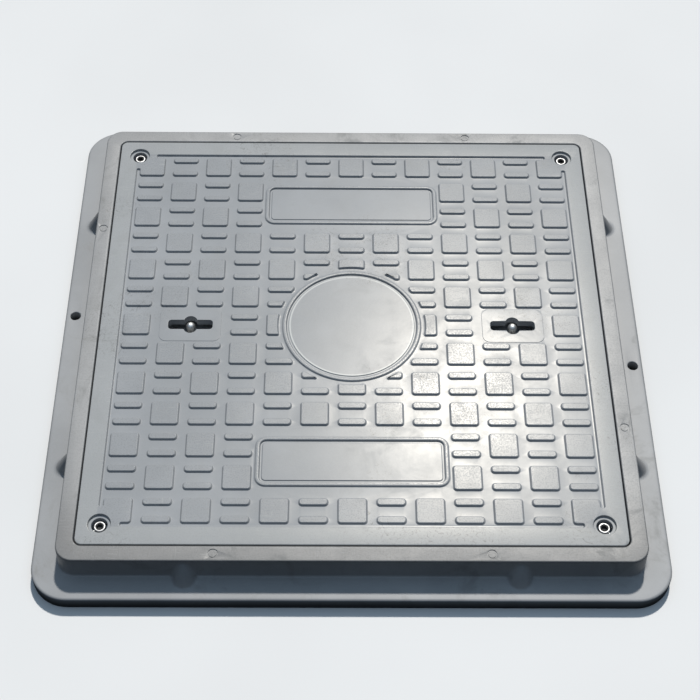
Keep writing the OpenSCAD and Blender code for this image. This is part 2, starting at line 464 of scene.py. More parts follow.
def add_rib_cells(shell):
    """The pockets under the cover, between its ribs; gives their mouths."""
    pitch = (2 * HALF - 2 * SKIRT_T + RIB_T) / RIB_CELLS
    size = pitch - RIB_T
    reach = RIB_CELLS // 2
    profile = [
        (0.5, SEAT),
        (0.1, SEAT + 0.4),
        (-0.2, SEAT + 2),
        (-1.0, SKIN - 2.5),
        (-1.6, SKIN - 0.7),
        (-3.0, SKIN),
    ]
    mouths = []
    for i in range(-reach, reach + 1):
        for j in range(-reach, reach + 1):
            if abs(i) == LIFT_CELL and j == 0:
                continue
            shape = box_corners(i * pitch, j * pitch, size, size, CELL_R)
            for sx, sy in CORNERS:
                shape = without_disc(shape, sx * BOLT, sy * BOLT, BOLT_BOSS_R, 3.5)
            for side in (-1, 1):
                shape = without_disc(shape, side * LIFT, 0, CUP_BOSS_R, 4)
            mouth, ceiling = shell.sweep(rounded(shape), profile)
            shell.cap(ceiling)
            mouths.append(mouth)
    return mouths


def make_cover(material):
    """The moulded plate: tread, medallion, nameplates and pads on top, ribs underneath."""
    shell = Shell()
    edge = rounded(box_corners(0, 0, 2 * HALF, 2 * HALF, COVER_CORNER_R), 8)
    side_wall = [(-1.1, SEAT), (-0.6, SEAT + 0.5), (0.0, TOP - 1.2), (-0.35, TOP - 0.35), (-1.2, TOP)]
    bottom, top = shell.sweep(edge, side_wall)
    field_wall = mirrored(wall(FIELD, TOP, root=0.8, crown=0.9, draft=0.5))
    field_edge, border_edge = shell.sweep(field_outline(), field_wall)
    feet = []
    tread_wall = wall(FIELD, TOP, root=0.9, crown=1.0, draft=0.6)
    for outline in tread_outlines():
        foot, tread = shell.sweep(outline, tread_wall)
        shell.cap(tread)
        feet.append(foot)
    for side in (-1, 1):
        plate = rounded(box_corners(0, side * PLATE_Y, *PLATE), 12)
        feet.append(add_bead(shell, plate))
    feet.append(add_bead(shell, circle(0, 0, RING_R, 128)))
    mouths = add_rib_cells(shell)
    for side in (-1, 1):
        foot, mouth = add_lift_point(shell, side)
        feet.append(foot)
        mouths.append(mouth)
    holes = [add_bolt_hole(shell, sx, sy) for sx, sy in CORNERS]
    shell.region(field_edge, feet)
    shell.region(top, [border_edge] + [h[0] for h in holes])
    shell.region(bottom, mouths + [h[1] for h in holes])
    obj = shell.build("moulded_cover", "cover", material)
    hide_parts("cover")


# ---------------------------------------------------------------- frame
GAP = 1.5
RIM = 320.0
RIM_R = 20.0
RIM_EDGE_R = 1.5
WALL_LEAN = 0.9
WALL_FOOT_R = 2.5
BASE_R = 42.0
SEAT_CORNER_R = 9.5
LEDGE = 12.0
OPENING = 270.0
LUG_R = 20.0
LUG_STEPS = 12
INSERT_R = 7.0
MARK_R = 5.4
MARK_DEPTH = 0.9
MARK_ALONG = 150.0
MARK_SHORT = 3.0
ANCHOR = (RIM + 18, -36.0, 6.25)
FLANGE_WALL_Z = 18.4
FLANGE_EDGE_Z = 17.0
BULLNOSE_R = 2.8
CORNER_STEPS = 14
# the pockets under the flange
POCKETS_A_SIDE = 10
POCKET_PITCH = 60.0
POCKET_OUT = 326.0
POCKET = (52.0, 32.0, 3.0)
POCKET_DEPTH = 9.0
ANCHOR_BOSS_R = 11.5
# the half-round ribs on the wall, thinner towards the top, which is GUSSET_DROP below the rim
GUSSET_X = 182.0
GUSSET_FOOT_R = 13.2
GUSSET_TOP_R = 7.0
GUSSET_FOOT_OUT = 4.3
GUSSET_TOP_OUT = -7.0
GUSSET_DROP = 5.0
GUSSET_END = 1.25
GUSSET_SPAN = 21.0
STATION_STEP = 1.4


def corner_radius(half):
    """The corner radius of the frame's outline at a half-width, growing from rim to base."""
    share = (half - RIM) / (BASE - RIM)
    return RIM_R + max(-RIM_R * 0.08, share) * (BASE_R - RIM_R)


def side_stations():
    """Places along one side: close together at the gussets, far apart elsewhere."""
    count = round(2 * GUSSET_SPAN / STATION_STEP) + 1
    fine = [GUSSET_X - GUSSET_SPAN + STATION_STEP * k for k in range(count)]
    coarse = [0, 40, 80, 120]
    right = coarse + fine + [225, 255]
    return [-s for s in reversed(right[1:])] + right


STATIONS = side_stations()


def frame_loop(half, push):
    """One loop round the frame, with push[k] moving the k-th station of each side outwards."""
    r = corner_radius(half)
    points = []
    straight = half - r
    for side in range(4):
        a = side * math.pi / 2
        along = Vector((math.cos(a), math.sin(a)))
        out = Vector((math.sin(a), -math.cos(a)))
        for k, s in enumerate([-straight] + STATIONS + [straight]):
            extra = push[k - 1] if 0 < k <= len(STATIONS) else 0
            p = along * s + out * (half + extra)
            points.append((p.x, p.y))
        centre = along * straight + out * straight
        for k in range(1, CORNER_STEPS):
            t = math.pi / 2 * k / CORNER_STEPS
            p = centre + r * (out * math.cos(t) + along * math.sin(t))
            points.append((p.x, p.y))
    return points


def gusset_push(half, z, s):
    """How far a point of the wall or flange moves out and up to lie on a gusset."""
    t = abs(abs(s) - GUSSET_X)
    span = TOP - GUSSET_DROP - FLANGE_EDGE_Z

    def surface(height):
        share = (height - FLANGE_EDGE_Z) / span
        radius = GUSSET_FOOT_R + (GUSSET_TOP_R - GUSSET_FOOT_R) * share
        if t >= radius or share > GUSSET_END:
            return 0.0
        out = GUSSET_FOOT_OUT + (GUSSET_TOP_OUT - GUSSET_FOOT_OUT) * share
        return RIM + out + math.sqrt(radius * radius - t * t)

    low, high = 0.0, 40.0
    if surface(z) <= half:
        return 0.0
    for _ in range(24):
        mid = (low + high) / 2
        if surface(z + mid) > half + mid:
            low = mid
        else:
            high = mid
    return low


def softened(values, rounds=2):
    """A row of numbers with its steps rounded off."""
    for _ in range(rounds):
        padded = [values[0]] + values + [values[-1]]
        values = [(padded[k] + 2 * padded[k + 1] + padded[k + 2]) / 4 for k in range(len(values))]
    return values


def quarter_point(centre, radius, share):
    """A point of a quarter circle, from level with its centre to straight above it."""
    a = math.pi / 2 * share
    return (centre[0] + radius * math.cos(a), centre[1] + radius * math.sin(a))


def between(start, end, rows):
    """Evenly spaced points from start to end, without start itself."""
    points = []
    for k in range(1, rows + 1):
        share = k / rows
        x = start[0] + (end[0] - start[0]) * share
        points.append((x, start[1] + (end[1] - start[1]) * share))
    return points


def outside_profile():
    """(half-width, height) down the outside, from the rim's top edge to the underside."""
    edge = (RIM - RIM_EDGE_R, TOP - RIM_EDGE_R)
    rim_edge = [quarter_point(edge, RIM_EDGE_R, 1 - k / 3) for k in range(4)]
    foot_z = FLANGE_WALL_Z + WALL_FOOT_R
    wall_foot = (RIM + WALL_LEAN, foot_z)
    down_wall = between((RIM, edge[1]), wall_foot, 10)
    fillet = []
    for k in range(1, 5):
        a = math.pi / 2 * k / 4
        fillet.append(
            (wall_foot[0] + WALL_FOOT_R * (1 - math.cos(a)), foot_z - WALL_FOOT_R * math.sin(a))
        )
    nose = (BASE - BULLNOSE_R, FLANGE_EDGE_Z - BULLNOSE_R)
    start = (wall_foot[0] + WALL_FOOT_R, FLANGE_WALL_Z)
    along_flange = between(start, (nose[0], FLANGE_EDGE_Z), 9)
    bullnose = [quarter_point(nose, BULLNOSE_R, 1 - k / 6) for k in range(1, 7)]
    skirt = [(BASE, 4.0), (BASE, 0.6), (BASE - 0.6, 0.0)]
    return rim_edge + down_wall + fillet + along_flange + bullnose + skirt


def add_outside(shell):
    """The rim's wall, its gussets and the flange; gives the rim's and the underside's rings."""
    rings = []
    per_side = len(STATIONS) + 2 + CORNER_STEPS - 1
    for half, z in outside_profile():
        near_wall = z < TOP - 2 and half < BASE - BULLNOSE_R + 0.1
        push = [gusset_push(half, z, s) if near_wall else 0.0 for s in STATIONS]
        push = softened(push)
        ring = shell.ring(frame_loop(half, push), z)
        for side in range(4):
            for k, extra in enumerate(push):
                i = ring[side * per_side + 1 + k]
                x, y, _ = shell.points[i]
                shell.points[i] = (x, y, z + extra)
        rings.append(ring)
    return shell.strips(rings)


def lug_corners():
    """The ledge's inner edge, with a round lug reaching in at each corner."""
    reach = LUG_R * LUG_R - (BOLT - OPENING) ** 2
    start = BOLT - math.sqrt(reach)
    quarter = [(OPENING, start, 2.0)]
    a0 = math.atan2(start - BOLT, OPENING - BOLT) % (2 * math.pi)
    a1 = 3 * math.pi / 2 - (a0 - math.pi)
    for k in range(1, LUG_STEPS):
        a = a0 + (a1 - a0) * k / LUG_STEPS
        quarter.append((BOLT + LUG_R * math.cos(a), BOLT + LUG_R * math.sin(a), 0))
    quarter.append((start, OPENING, 2.0))
    return four_times(quarter)


def flange_pockets():
    """The outlines of the pockets under the flange."""
    outlines = []
    for turn in range(4):
        for k in range(POCKETS_A_SIDE):
            along = (k - (POCKETS_A_SIDE - 1) / 2) * POCKET_PITCH
            shape = turned(box_corners(along, -POCKET_OUT, *POCKET), turn)
            for side in (-1, 1):
                shape = without_disc(shape, side * ANCHOR[0], side * ANCHOR[1], ANCHOR_BOSS_R, 2.5)
            outlines.append(rounded(shape))
    return outlines


def rim_marks():
    """Where the ejector pins left round marks on the rim."""
    middle = (RIM + HALF + GAP) / 2
    sides = [(-middle, MARK_ALONG), (middle, MARK_SHORT - MARK_ALONG)]
    return sides + [(sx * MARK_ALONG, sy * middle) for sy in (-1, 1) for sx in (1, -1)]


def add_rim_marks(shell):
    """The marks as shallow discs in a thin groove; gives their outer edges."""
    marks = []
    floor_z = TOP - MARK_DEPTH
    groove = [(0.1, TOP), (0.0, floor_z), (-0.8, floor_z), (-1.0, TOP - 0.25)]
    for x, y in rim_marks():
        mark, disc = shell.sweep(circle(x, y, MARK_R, 32), groove)
        shell.cap(disc)
        marks.append(mark)
    return marks


def make_frame(material):
    """The moulded frame: rim, wall, gussets, flange, ledge and webs underneath."""
    shell = Shell()
    rim_top, underside = add_outside(shell)
    seat_side = 2 * (HALF + GAP)
    seat = rounded(box_corners(0, 0, seat_side, seat_side, SEAT_CORNER_R), 8)
    seat_wall = [(1.2, TOP), (0.35, TOP - 0.35), (0.0, TOP - 1.2), (0.0, LEDGE)]
    mouth, ledge_edge = shell.sweep(seat, seat_wall)
    shell.region(rim_top, [mouth] + add_rim_marks(shell))
    opening_wall = [(0.6, LEDGE), (0.0, LEDGE - 0.6), (0.0, 0.6), (0.6, 0.0)]
    opening_top, opening_foot = shell.sweep(rounded(lug_corners()), opening_wall)
    tops, feet = [opening_top], [opening_foot]
    for sx, sy in CORNERS:
        insert_hole = circle(sx * BOLT, sy * BOLT, INSERT_R, 32)
        hole_top, hole_foot = shell.sweep(insert_hole, [(0, LEDGE), (0, 0)])
        tops.append(hole_top)
        feet.append(hole_foot)
    deep = POCKET_DEPTH
    pocket_wall = [(0.4, 0), (0.0, 0.4), (-0.35, deep - 0.3), (-0.7, deep)]
    for outline in flange_pockets():
        foot, ceiling = shell.sweep(outline, pocket_wall)
        shell.cap(ceiling)
        feet.append(foot)
    shell.region(ledge_edge, tops)
    shell.region(underside, feet)
    obj = shell.build("moulded_frame", "frame", material)
    drill_anchor_holes(obj)
    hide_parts("frame")


def anchor_cutter(material):
    """Two stepped rods the shape of the anchor holes, with a slightly broken top edge."""
    shell = Shell()
    x, y, r = ANCHOR
    wide = r + 1.2
    levels = [(r, -2), (r, FLANGE_WALL_Z - 2.2), (wide, FLANGE_WALL_Z), (wide, FLANGE_WALL_Z + 3)]
    for side in (-1, 1):
        foot, head = shell.turning(side * x, side * y, levels, 40)
        shell.cap(foot)
        shell.cap(head)
    return shell.build("anchor_cutter", "frame", material)


def drill_anchor_holes(obj):
    """Cuts the two anchor holes through the flange, and keeps the result as the mesh."""
    cutter = anchor_cutter(obj.data.materials[0])
    cut = obj.modifiers.new("anchor_holes", "BOOLEAN")
    cut.operation = "DIFFERENCE"
    cut.solver = "EXACT"
    cut.object = cutter
    obj.modifiers.move(1, 0)
    bpy.context.view_layer.update()
    graph = bpy.context.evaluated_depsgraph_get()
    obj.modifiers["weighted"].show_viewport = False
    graph.update()
    drilled = bpy.data.meshes.new_from_object(obj.evaluated_get(graph))
    obj.modifiers.remove(cut)
    old = obj.data
    obj.data = drilled
    bpy.data.meshes.remove(old)
    drilled.name = "moulded_frame"
    obj.modifiers["weighted"].show_viewport = True
    bpy.data.objects.remove(cutter)
    drilled.set_sharp_from_angle(angle=math.radians(SHARP_ANGLE))


# ---------------------------------------------------------------- lock bolts
HEAD_R = 6.5
HEAD_H = 8.0
SHANK_R = 3.95
THREAD_ROOT_R = 3.45
THREAD_PITCH = 1.25
THREAD_LENGTH = 22.0
ROWS_A_TURN = 6
SOCKET_ACROSS = 6.0
SOCKET_MOUTH_R = 4.7
SOCKET_DEPTH = 4.0
KNURL_DEPTH = 0.22
BOLT_STEPS = 48


def hexagon(cx, cy, across, steps=8):
    """A hexagon with steps points on each side."""
    r = across / 2 / math.cos(math.pi / 6)
    corners = circle(cx, cy, r, 6)
    points = []
    for k in range(6):
        ax, ay = corners[k]
        bx, by = corners[(k + 1) % 6]
        points += [(ax + (bx - ax) * i / steps, ay + (by - ay) * i / steps) for i in range(steps)]
    return points


def add_socket(shell, cx, cy, top):
    """The hexagon socket with its countersunk mouth; gives the mouth's ring."""
    rim = shell.ring(circle(cx, cy, SOCKET_MOUTH_R, BOLT_STEPS), top)
    edge = shell.ring(hexagon(cx, cy, SOCKET_ACROSS), top - 0.9)
    floor = shell.ring(hexagon(cx, cy, SOCKET_ACROSS), top - SOCKET_DEPTH)
    shell.strips([rim, edge, floor])
    shell.cap(floor)
    return rim


def add_head(shell, cx, cy, top):
    """The knurled head down to the shank; gives its top and bottom rings."""
    under = top - HEAD_H

    def lathe(r, z):
        return shell.ring(circle(cx, cy, r, BOLT_STEPS), z)

    def knurled(z):
        radii = [HEAD_R, HEAD_R - KNURL_DEPTH] * (BOLT_STEPS // 2)
        return shell.ring(spread(cx, cy, radii), z)

    return shell.strips(
        [
            lathe(HEAD_R - 0.9, top),
            lathe(HEAD_R - 0.45, top - 0.14),
            lathe(HEAD_R - 0.08, top - 0.5),
            lathe(HEAD_R, top - 1.0),
            knurled(top - 1.4),
            knurled(under + 1.0),
            lathe(HEAD_R, under + 0.6),
            lathe(HEAD_R - 0.2, under),
            lathe(SHANK_R, under),
        ]
    )


def thread_ring(cx, cy, z, fade):
    """The outline of the thread at one height; fade goes from 0, plain shank, to 1."""
    radii = []
    for i in range(BOLT_STEPS):
        phase = (z / THREAD_PITCH - i / BOLT_STEPS) % 1
        crest = min(1, max(0, 1.6 - abs(phase - 0.5) * 4))
        radii.append(SHANK_R + (THREAD_ROOT_R - SHANK_R) * (1 - crest) * fade)
    return spread(cx, cy, radii)


def make_bolt(name, body, node, material):
    """A socket head cap screw with a knurled head and a threaded end."""
    low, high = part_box(node)
    cx, cy = (low.x + high.x) / 2 / MM, (low.y + high.y) / 2 / MM
    tip, top = low.z / MM, high.z / MM
    shell = Shell()
    socket_mouth = add_socket(shell, cx, cy, top)
    head_top, head_foot = add_head(shell, cx, cy, top)
    shell.region(head_top, [socket_mouth])
    rings = [head_foot]
    rows = round(THREAD_LENGTH / THREAD_PITCH * ROWS_A_TURN)
    for k in range(rows + 1):
        z = tip + 1 + THREAD_LENGTH * (1 - k / rows)
        fade = min(1, k / ROWS_A_TURN)
        rings.append(shell.ring(thread_ring(cx, cy, z, fade), z))
    rings.append(shell.ring(circle(cx, cy, SHANK_R - 1.1, BOLT_STEPS), tip))
    shell.strips(rings)
    shell.cap(rings[-1])
    obj = shell.build(name, body, material, sharp_angle=30)
    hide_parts(node)


# ---------------------------------------------------------------- materials
# the colour that darkens the highest faces, most of all at the front
TOP_DARKENING = (0.10, 0.10, 0.10)
# dust and painted shade at the foot of the treads' walls and in the grooves
CREASE_DUST_AND_SHADE = (0.10, 0.10, 0.095)
STAIN = (0.20, 0.20, 0.19)
SCRATCH = (0.12, 0.115, 0.105)
# painted shade for the lowest part of the outside's walls
PAINTED_FOOT_SHADE = (0.03, 0.028, 0.025)
# the colour that darkens the inside of the hex sockets
SOCKET_DARK_COLOR = (0.03, 0.03, 0.028)


class Nodes:
    """A short way to write a node material."""

    def __init__(self, name):
        self.material = bpy.data.materials.new(name)
        self.material.use_nodes = True
        self.tree = self.material.node_tree
        self.shader = self.tree.nodes["Principled BSDF"]
        self.place = self.add("ShaderNodeTexCoord").outputs["Object"]
        self.split = None

    def add(self, kind, **settings):
        """A new node with its settings."""
        node = self.tree.nodes.new(kind)
        for key, value in settings.items():
            setattr(node, key, value)
        return node

    def link(self, source, target):
        """Feeds a socket with a number or with another node's output."""
        if isinstance(source, (int, float)):
            target.default_value = source
        else:
            self.tree.links.new(source, target)

    def stretched(self, x, y, z):
        """The place on the object, scaled along each axis."""
        node = self.add("ShaderNodeMapping")
        node.inputs["Scale"].default_value = (x, y, z)
        self.link(self.place, node.inputs["Vector"])
        return node.outputs["Vector"]

    def noise(self, scale, detail, roughness=0.55, place=None, distortion=0.0):
        """Fractal noise, about 0.5 in the middle; scale is in features a metre."""
        node = self.add("ShaderNodeTexNoise")
        node.inputs["Scale"].default_value = scale
        node.inputs["Detail"].default_value = detail
        node.inputs["Roughness"].default_value = roughness
        node.inputs["Distortion"].default_value = distortion
        self.link(place or self.place, node.inputs["Vector"])
        return node.outputs["Fac"]

    def span(self, value, low, high, to_low=0.0, to_high=1.0, smooth=True):
        """The value's run from low to high as a run from to_low to to_high."""
        node = self.add("ShaderNodeMapRange")
        node.interpolation_type = "SMOOTHSTEP" if smooth else "LINEAR"
        self.link(value, node.inputs["Value"])
        node.inputs["From Min"].default_value = low
        node.inputs["From Max"].default_value = high
        node.inputs["To Min"].default_value = to_low
        node.inputs["To Max"].default_value = to_high
        return node.outputs["Result"]

    def math(self, operation, a, b=0.0):
        """One operation on two values."""
        node = self.add("ShaderNodeMath", operation=operation)
        self.link(a, node.inputs[0])
        self.link(b, node.inputs[1])
        return node.outputs[0]

    def times(self, *values):
        """All the values multiplied together."""
        product = values[0]
        for value in values[1:]:
            product = self.math("MULTIPLY", product, value)
        return product

    def mix(self, share, a, b):
        """A colour between a and b."""
        node = self.add("ShaderNodeMix", data_type="RGBA")
        self.link(share, node.inputs["Factor"])
        for value, socket in ((a, node.inputs[6]), (b, node.inputs[7])):
            if isinstance(value, tuple):
                socket.default_value = (*value, 1)
            else:
                self.link(value, socket)
        return node.outputs[2]

    def axis(self, name):
        """The place along one axis, in metres."""
        if not self.split:
            self.split = self.add("ShaderNodeSeparateXYZ")
            self.link(self.place, self.split.inputs[0])
        return self.split.outputs[name]

    def bump(self, layers):
        """Bump from (height, strength, distance) layers, one on top of another."""
        last = None
        for height, strength, distance in layers:
            node = self.add("ShaderNodeBump")
            node.inputs["Strength"].default_value = strength
            node.inputs["Distance"].default_value = distance
            self.link(height, node.inputs["Height"])
            if last is not None:
                self.link(last, node.inputs["Normal"])
            last = node.outputs["Normal"]
        self.link(last, self.shader.inputs["Normal"])

    def finish(self, color, roughness, metallic=0.0, **constants):
        """Feeds the shader, and gives the material."""
        self.link(color, self.shader.inputs["Base Color"])
        self.link(roughness, self.shader.inputs["Roughness"])
        self.shader.inputs["Metallic"].default_value = metallic
        for name, value in constants.items():
            self.shader.inputs[name.replace("_", " ")].default_value = value
        return self.material


def shade(color, factor):
    """A colour made darker or paler."""
    return tuple(factor * c for c in color)


def mottle(n, low_color, high_color, cloud, grain):
    """The moulding compound's own colour: blotches, clouds, grain and dark specks."""
    blotch = n.noise(7.0, 3.0, 0.6)
    speck = n.noise(2600.0, 1.0, 0.5)
    base = n.mix(n.span(blotch, 0.35, 0.65), low_color, high_color)
    base = n.mix(n.span(cloud, 0.4, 0.75, 0.0, 0.3), base, shade(low_color, 0.88))
    base = n.mix(n.span(grain, 0.3, 0.7, 0.0, 0.14), base, shade(high_color, 1.2))
    return n.mix(n.span(speck, 0.66, 0.8, 0.0, 0.3), base, shade(low_color, 0.6))


def scuffs(n, top):
    """Where the tops are scuffed, in streaks along X and Y."""
    streak_x = n.noise(60.0, 4.0, 0.6, n.stretched(1.0, 9.0, 1.0))
    streak_y = n.noise(60.0, 4.0, 0.6, n.stretched(9.0, 1.0, 1.0))
    patchy = n.span(n.noise(22.0, 3.0, 0.6), 0.4, 0.62)
    streaks = n.math("MAXIMUM", n.span(streak_x, 0.54, 0.72), n.span(streak_y, 0.57, 0.75))
    return n.times(streaks, top, n.math("ADD", n.times(patchy, 0.8), 0.2))


def rub_and_edge_highlight(n, base, upper, wear_and_highlight_color):
    """The cover's border rubbed paler, and the medallion's edge rubbed paler with a painted
    highlight.
    """
    x, y = n.axis("X"), n.axis("Y")
    across = n.math("MAXIMUM", n.math("ABSOLUTE", x), n.math("ABSOLUTE", y))
    border = n.span(across, BORDER * MM, (BORDER + 2) * MM, 0.0, 0.35)
    border = n.times(border, n.span(across, HALF * MM, (HALF + 1) * MM, 1.0, 0.0))
    base = n.mix(n.times(border, upper), base, wear_and_highlight_color)
    radius = n.math("SQRT", n.math("ADD", n.math("POWER", x, 2.0), n.math("POWER", y, 2.0)))
    # the medallion's edge: wear and a painted highlight
    off_edge = n.math("ABSOLUTE", n.math("SUBTRACT", radius, (DISC_R - 0.9) * MM))
    rubbed_and_highlit = n.times(n.span(off_edge, 0.5 * MM, 1.9 * MM, 0.75, 0.0), upper)
    return n.mix(rubbed_and_highlit, base, shade(wear_and_highlight_color, 1.35))


def scratches(n, upper):
    """Where the top is scratched: a few places, more of them along the front edge."""
    scratch = n.span(n.noise(110.0, 6.0, 0.85, distortion=3.0), 0.55, 0.60)
    near_edge = n.span(n.axis("Y"), -HALF * MM, (12 - BORDER) * MM, 0.1, 0.0)
    scratched = n.math("ADD", n.noise(9.0, 2.0, 0.5), near_edge)
    return n.times(scratch, n.span(scratched, 0.57, 0.66), upper)


def wall_foot_band(n, height):
    """1 in the lowest part of the treads' walls and in the grooves, and 0 elsewhere."""
    above = n.span(height, (FIELD + 0.02) * MM, (FIELD + 0.9) * MM, 1.0, 0.0)
    below = n.span(height, (FIELD - 0.9) * MM, (FIELD + 0.01) * MM)
    return n.times(above, below)


def slope_mask(n):
    """1 on walls and 0 on level faces."""
    lean = n.add("ShaderNodeSeparateXYZ")
    n.link(n.add("ShaderNodeNewGeometry").outputs["True Normal"], lean.inputs[0])
    return n.span(lean.outputs["Z"], 0.55, 0.99, 1.0, 0.0)


def composite_material(
    name, low_color, high_color, wear_and_highlight_color, shine, shine_color, field_rough, top_rough, top_darkening, stains
):
    """Moulded glass-fibre composite: mottled, scuffed on the tops, painted shade at the foot."""
    n = Nodes(name)
    height = n.axis("Z")
    top = n.span(height, (TOP - 1.4) * MM, (TOP - 0.5) * MM)
    upper = n.span(height, (FIELD - 1.0) * MM, (FIELD - 0.5) * MM)
    slope = slope_mask(n)
    cloud = n.noise(38.0, 5.0, 0.62, distortion=0.4)
    grain = n.noise(900.0, 2.0, 0.5)
    base = mottle(n, low_color, high_color, cloud, grain)
    # small pits on whatever stands highest, and those faces darker, most of all at the front
    pits = n.times(n.span(n.noise(560.0, 3.0, 0.75), 0.51, 0.58), top)
    base = n.mix(n.times(pits, 0.28), base, shade(low_color, 0.55))
    front = n.span(n.axis("Y"), -HALF * MM, -0.7 * HALF * MM, 3.2, 1.3)
    base = n.mix(n.times(top, front, top_darkening), base, TOP_DARKENING)
    # border wear, and wear with a painted highlight on the medallion's edge
    base = rub_and_edge_highlight(n, base, upper, wear_and_highlight_color)
    scuff = scuffs(n, top)
    base = n.mix(n.times(scuff, 0.45), base, wear_and_highlight_color)
    # dust and painted shade: darker at the foot of the treads' walls and in the grooves
    base = n.mix(n.times(wall_foot_band(n, height), slope, 0.45), base, CREASE_DUST_AND_SHADE)
    stain = n.span(n.noise(16.0, 6.0, 0.7, distortion=0.8), 0.52, 0.70, 0.0, stains)
    base = n.mix(stain, base, STAIN)
    base = n.mix(n.times(scratches(n, upper), 0.5), base, SCRATCH)
    # painted shade on the lowest part of the outside's walls, darker towards the bottom
    base = n.mix(n.times(n.span(height, 0.003, 0.014, 0.75, 0.0), slope), base, PAINTED_FOOT_SHADE)
    rough = n.span(top, 0.0, 1.0, field_rough, top_rough, False)
    rough = n.math("ADD", rough, n.span(cloud, 0.3, 0.7, -0.012, 0.02))
    for mark, more in ((scuff, 0.10), (pits, 0.04), (stain, 0.3)):
        rough = n.math("ADD", rough, n.times(mark, more))
    n.bump(
        [
            (n.noise(5.0, 2.0, 0.5), 0.35, 0.0009),
            (cloud, 0.08, 0.0003),
            (n.noise(260.0, 3.0, 0.6), 0.12, 0.00012),
            (n.times(grain, n.math("ADD", top, 0.6)), 0.26, 0.00005),
            (n.math("SUBTRACT", 1.0, pits), 0.14, 0.00008),
        ]
    )
    tint = (*shine_color, 1.0)
    return n.finish(base, rough, IOR=1.5, Specular_IOR_Level=shine, Specular_Tint=tint)


def dark_socket_mask(n):
    """1 inside the hex sockets of the lock bolts, and 0 elsewhere."""
    out = []
    for axis in ("X", "Y"):
        side = n.math("ABSOLUTE", n.axis(axis))
        out.append(n.math("POWER", n.math("SUBTRACT", side, BOLT * MM), 2.0))
    away = n.math("SQRT", n.math("ADD", out[0], out[1]))
    reach = SOCKET_MOUTH_R * MM
    return n.span(away, reach - 0.0003, reach + 0.0002, 1.0, 0.0)


def steel_material(name, color, rough_low, rough_high, dark_sockets=False):
    """Stainless steel with turning marks round Z, and darker, rougher hex sockets if dark_sockets is
    set.
    """
    n = Nodes(name)
    lines = n.noise(40.0, 3.0, 0.6, n.stretched(1.0, 1.0, 90.0))
    smudge = n.noise(120.0, 4.0, 0.6)
    base = n.mix(n.span(smudge, 0.35, 0.7, 0.0, 0.4), color, shade(color, 0.72))
    rough = n.span(lines, 0.3, 0.7, rough_low, rough_high)
    rough = n.math("ADD", rough, n.span(smudge, 0.4, 0.8, 0.0, 0.1))
    if dark_sockets:
        # darker and rougher inside the hex sockets
        socket_dark = n.times(dark_socket_mask(n), 0.85)
        base = n.mix(socket_dark, base, SOCKET_DARK_COLOR)
        rough = n.math("ADD", rough, n.times(socket_dark, 0.4))
    n.bump([(lines, 0.15, 0.00004), (smudge, 0.1, 0.00005)])
    return n.finish(base, rough, 1.0)


def brass_material():
    """Machined brass, tarnished in patches, with turning rings."""
    n = Nodes("insert_brass_finish")
    tarnish = n.noise(300.0, 5.0, 0.65)
    base = n.mix(n.span(tarnish, 0.35, 0.7), (0.62, 0.45, 0.17), (0.36, 0.25, 0.11))
    rings = n.noise(50.0, 2.0, 0.5, n.stretched(1.0, 1.0, 60.0))
    n.bump([(rings, 0.2, 0.00006), (tarnish, 0.2, 0.00005)])
    return n.finish(base, n.span(tarnish, 0.3, 0.7, 0.28, 0.5), 1.0)


def dark_plastic_material():
    """Dark moulded plastic under a film of dust."""
    n = Nodes("socket_plastic_finish")
    dust = n.noise(160.0, 6.0, 0.7)
    base = n.mix(n.span(dust, 0.45, 0.75, 0.0, 0.6), (0.24, 0.25, 0.26), (0.32, 0.315, 0.30))
    n.bump([(n.noise(1400.0, 2.0), 0.25, 0.00005), (dust, 0.2, 0.0001)])
    return n.finish(base, n.span(dust, 0.3, 0.7, 0.45, 0.75))


def rubber_material():
    """Matt black rubber with a pale bloom."""
    n = Nodes("gasket_rubber_finish")
    bloom = n.noise(90.0, 6.0, 0.7)
    base = n.mix(n.span(bloom, 0.45, 0.75, 0.0, 0.5), (0.016, 0.016, 0.017), (0.055, 0.054, 0.052))
    n.bump([(n.noise(1800.0, 2.0), 0.35, 0.00006), (bloom, 0.2, 0.0002)])
    return n.finish(base, n.span(bloom, 0.3, 0.7, 0.62, 0.85))


def floor_material():
    """Pale, plain ground."""
    n = Nodes("floor_finish")
    tone = n.noise(1.6, 3.0, 0.5)
    base = n.mix(n.span(tone, 0.35, 0.65), (0.74, 0.735, 0.725), (0.78, 0.775, 0.765))
    return n.finish(base, 0.85)


# ---------------------------------------------------------------- camera, floor and light
LENS_PER_WIDTH = 2.1404286
SENSOR = 36.0
CAMERA_IN_PITCHES = (-0.448, -25.52, 33.127)
YAW, DIP, ROLL = math.radians(0.93), math.radians(53.38), math.radians(0.99)
TOWARD_SUN = Vector((0.101, 0.69, 1.0))
SUN_STRENGTH = 3.25
SUN_ANGLE = math.radians(3.2)
SUN_COLOR = (1.0, 0.972, 0.925)
SKY_FROM, SKY_TO = 0.38, 0.85
SKY_STRENGTH = 0.57
SKY_LOW_COLOR = (1.0, 0.93, 0.93, 1)
SKY_HIGH_COLOR = (0.47, 0.72, 1.0, 1)
BACKDROP_COLOR = (0.84, 0.87, 0.88, 1)
FLOOR_HALF = 60.0


